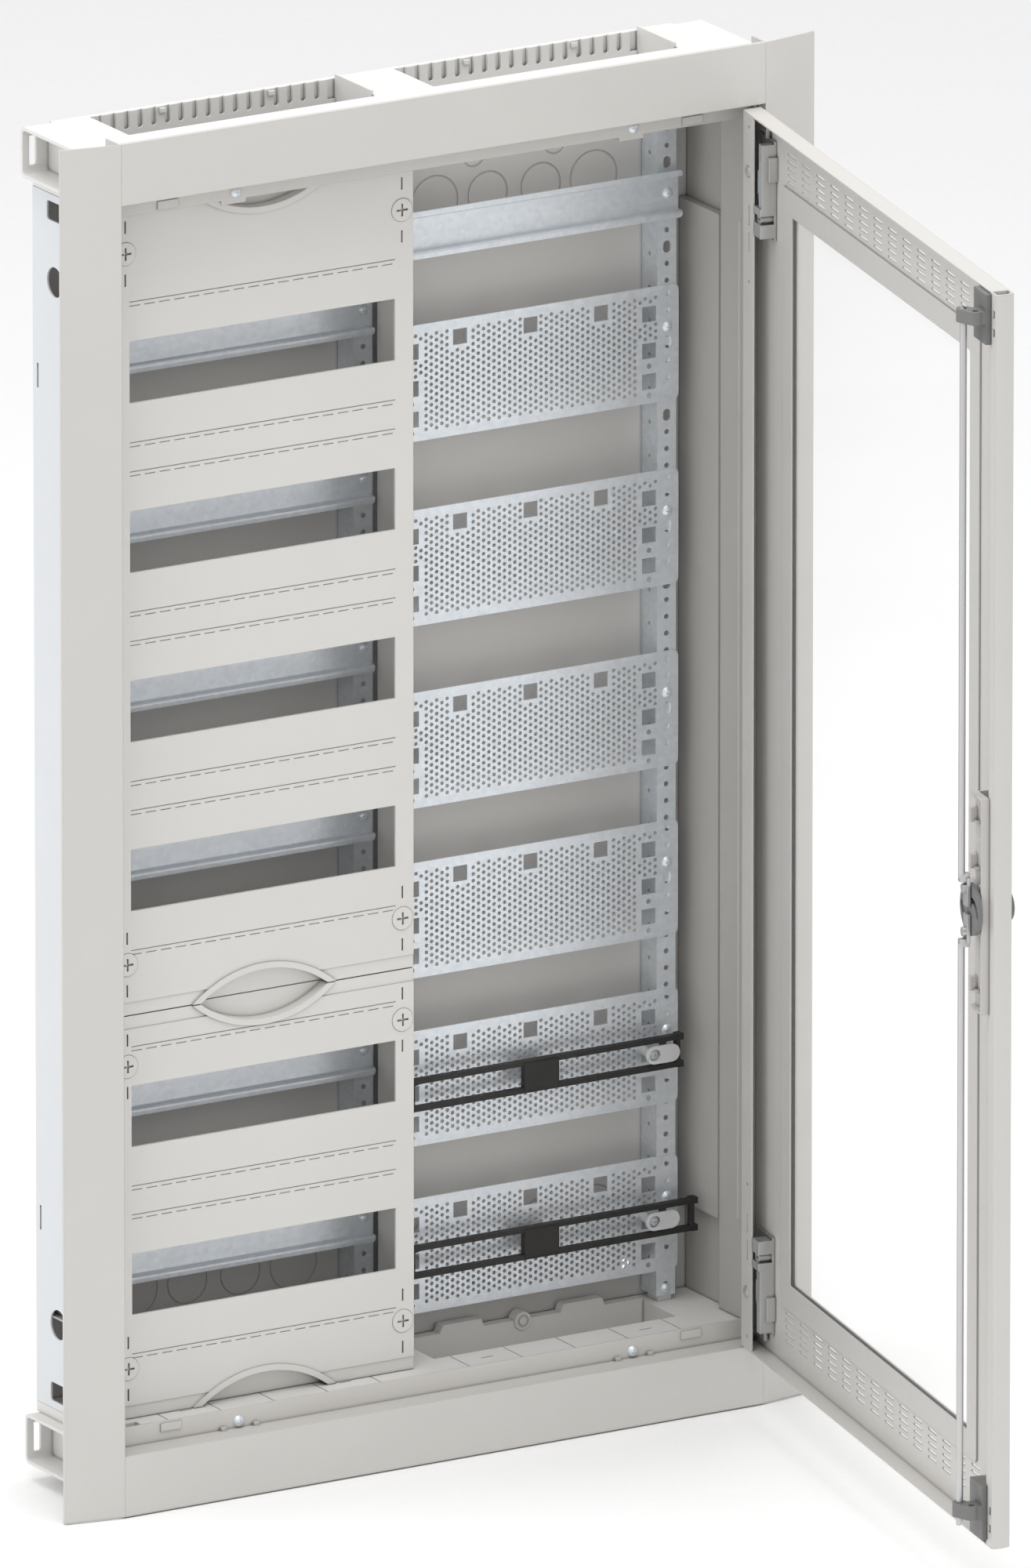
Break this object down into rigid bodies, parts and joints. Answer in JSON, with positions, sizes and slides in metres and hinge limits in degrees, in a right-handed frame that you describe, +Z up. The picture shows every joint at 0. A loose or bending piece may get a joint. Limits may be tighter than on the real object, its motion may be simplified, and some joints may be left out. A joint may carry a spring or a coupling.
{
  "type": "switchboard cabinet",
  "caption": "Recessed two-field distribution cabinet with a glazed, rod-locked door, slotted covers, rails and mounting plates.",
  "frame": {"origin": "centre of the rear wall's outer face", "axes": "+Z up, +Y into the wall (out of the back), +X to the right seen from the front"},
  "size_m": [0.62, 0.6248, 1.014],
  "materials": {
    "galvanised_steel": "satin",
    "sheet_white": "satin",
    "moulded_plastic": "matt",
    "trim_paint": "fine texture",
    "zinc": "bright zinc",
    "cover_plastic": "matt",
    "black_plastic": "matt",
    "clear_plastic": "clear, slightly cloudy",
    "grey_plastic": "matt",
    "light_plastic": "matt",
    "pane": "clear, lightly frosted",
    "plated_steel": "zinc plated"
  },
  "bodies": {
    "cabinet": {"cable_combs": "moulded_plastic", "cable_holder_lower": "black_plastic", "cable_holder_upper": "black_plastic", "cover_lower": "cover_plastic", "cover_posts": "cover_plastic", "cover_upper": "cover_plastic", "din_rail_1": "zinc", "din_rail_2": "zinc", "din_rail_3": "zinc", "din_rail_4": "zinc", "din_rail_5": "zinc", "din_rail_6": "zinc", "din_rail_open_field": "zinc", "end_piece_bottom": "moulded_plastic", "end_piece_top": "moulded_plastic", "entry_plates": "moulded_plastic", "holder_clips": "clear_plastic", "inner_frame": "trim_paint", "mounting_screws": "zinc", "perforated_plate_1": "zinc", "perforated_plate_2": "zinc", "perforated_plate_3": "zinc", "perforated_plate_4": "zinc", "perforated_plate_5": "zinc", "perforated_plate_6": "zinc", "pivot_bushes": "grey_plastic", "profile_rail_left_a": "zinc", "profile_rail_left_b": "zinc", "profile_rail_right_a": "zinc", "profile_rail_right_b": "zinc", "rear_panel": "galvanised_steel", "side_liner_left": "galvanised_steel", "side_liner_right": "galvanised_steel", "side_panel_left": "sheet_white", "side_panel_right": "galvanised_steel", "trim_rail_bottom": "trim_paint", "trim_rail_top": "trim_paint", "trim_stile_left": "trim_paint", "trim_stile_right": "trim_paint"},
    "door": {"door_panel": "trim_paint", "door_edge_profile": "trim_paint", "door_pane": "pane", "pane_frames": "light_plastic", "hinge_upper": "plated_steel", "hinge_lower": "plated_steel", "lock_housing": "light_plastic", "lock_escutcheon": "grey_plastic", "rod_guides": "grey_plastic"},
    "lock_spindle": {"lock_knob": "grey_plastic", "lock_cam": "grey_plastic"},
    "upper_rod": {"lock_rod_upper": "plated_steel"},
    "lower_rod": {"lock_rod_lower": "plated_steel"},
    "fastener_1": {"cover_fastener_1": "cover_plastic"},
    "fastener_2": {"cover_fastener_2": "cover_plastic"},
    "fastener_3": {"cover_fastener_3": "cover_plastic"},
    "fastener_4": {"cover_fastener_4": "cover_plastic"},
    "fastener_5": {"cover_fastener_5": "cover_plastic"},
    "fastener_6": {"cover_fastener_6": "cover_plastic"},
    "fastener_7": {"cover_fastener_7": "cover_plastic"},
    "fastener_8": {"cover_fastener_8": "cover_plastic"}
  },
  "joints": [
    {"name": "door_hinge", "type": "hinge", "parent": "cabinet", "child": "door", "pos_m": [0.2574, -0.113, 0], "axis": [0, 0, 1], "range_deg": [-79, 36]},
    {"name": "lock_turn", "type": "hinge", "parent": "door", "child": "lock_spindle", "pos_m": [0.16647, -0.60336, 0.0065], "axis": [-0.9816, 0.1908, 0], "range_deg": [0, 90]},
    {"name": "upper_rod_slide", "type": "slide", "parent": "door", "child": "upper_rod", "axis": [0, 0, 1], "range_m": [0, 0.01]},
    {"name": "lower_rod_slide", "type": "slide", "parent": "door", "child": "lower_rod", "axis": [0, 0, -1], "range_m": [0, 0.0105]},
    {"name": "fastener_turn_1", "type": "hinge", "parent": "cabinet", "child": "fastener_1", "pos_m": [-0.2373, -0.074, 0.4125], "axis": [0, 1, 0], "range_deg": [0, 90]},
    {"name": "fastener_turn_2", "type": "hinge", "parent": "cabinet", "child": "fastener_2", "pos_m": [-0.0103, -0.074, 0.4125], "axis": [0, 1, 0], "range_deg": [0, 90]},
    {"name": "fastener_turn_3", "type": "hinge", "parent": "cabinet", "child": "fastener_3", "pos_m": [-0.2373, -0.074, -0.112], "axis": [0, 1, 0], "range_deg": [0, 90]},
    {"name": "fastener_turn_4", "type": "hinge", "parent": "cabinet", "child": "fastener_4", "pos_m": [-0.0103, -0.074, -0.112], "axis": [0, 1, 0], "range_deg": [0, 90]},
    {"name": "fastener_turn_5", "type": "hinge", "parent": "cabinet", "child": "fastener_5", "pos_m": [-0.2373, -0.074, -0.1875], "axis": [0, 1, 0], "range_deg": [0, 90]},
    {"name": "fastener_turn_6", "type": "hinge", "parent": "cabinet", "child": "fastener_6", "pos_m": [-0.0103, -0.074, -0.1875], "axis": [0, 1, 0], "range_deg": [0, 90]},
    {"name": "fastener_turn_7", "type": "hinge", "parent": "cabinet", "child": "fastener_7", "pos_m": [-0.2373, -0.074, -0.4125], "axis": [0, 1, 0], "range_deg": [0, 90]},
    {"name": "fastener_turn_8", "type": "hinge", "parent": "cabinet", "child": "fastener_8", "pos_m": [-0.0103, -0.074, -0.4125], "axis": [0, 1, 0], "range_deg": [0, 90]}
  ],
  "couplings": [
    {"joint": "lock_turn", "follows": "upper_rod_slide", "rad_per_m": 157.08},
    {"joint": "lower_rod_slide", "follows": "upper_rod_slide", "ratio": 1}
  ]
}
